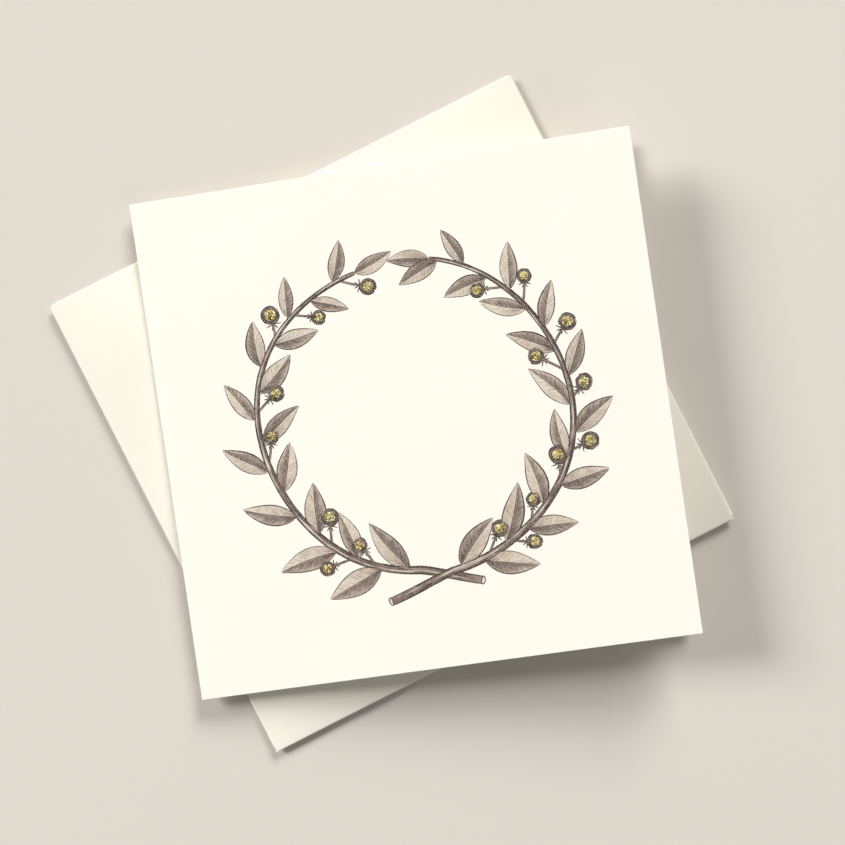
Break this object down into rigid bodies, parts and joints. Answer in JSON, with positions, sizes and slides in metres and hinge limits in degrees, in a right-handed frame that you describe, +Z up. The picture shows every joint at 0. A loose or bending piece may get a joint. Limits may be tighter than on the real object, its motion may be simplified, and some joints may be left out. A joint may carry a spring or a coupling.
{
  "type": "greeting card with envelope",
  "caption": "Square greeting card folded once, its front leaf ajar, lying turned on its own pointed-flap envelope.",
  "frame": {"origin": "on the table under the middle of the envelope", "axes": "+Z up, +X across the card from its fold to its open edge, +Y up the card's front"},
  "size_m": [0.1959, 0.1926, 0.0173],
  "materials": {
    "card_board": "matte ivory board with a fine felt tooth",
    "envelope_paper": "matte ivory wove paper",
    "pencil_print": "matte sepia pencil line work printed on the board",
    "gold_crumbs": "sparkling gold crumbs glued to the print",
    "gum": "dried gum, faintly glossy"
  },
  "bodies": {
    "envelope_and_card_back": {"card_back_leaf": "card_board", "envelope_front_panel": "envelope_paper", "envelope_left_flap": "envelope_paper", "envelope_right_flap": "envelope_paper", "envelope_bottom_flap": "envelope_paper", "envelope_left_fold": "envelope_paper", "envelope_right_fold": "envelope_paper", "envelope_bottom_fold": "envelope_paper"},
    "card_front": {"card_front_leaf": "card_board"},
    "envelope_flap": {"envelope_top_flap": "envelope_paper"}
  },
  "joints": [
    {"name": "card_fold", "type": "hinge", "parent": "envelope_and_card_back", "child": "card_front", "pos_m": [-0.0691, -0.0019, 0.00365], "axis": [0, -1, 0], "range_deg": [-5, 175], "stiffness_Nm_per_rad": 0.01, "springref_deg": 30.19},
    {"name": "flap_fold", "type": "hinge", "parent": "envelope_and_card_back", "child": "envelope_flap", "pos_m": [-0.02408, 0.07156, 0.0014], "axis": [0.9478, 0.319, 0], "range_deg": [0, 179]}
  ]
}
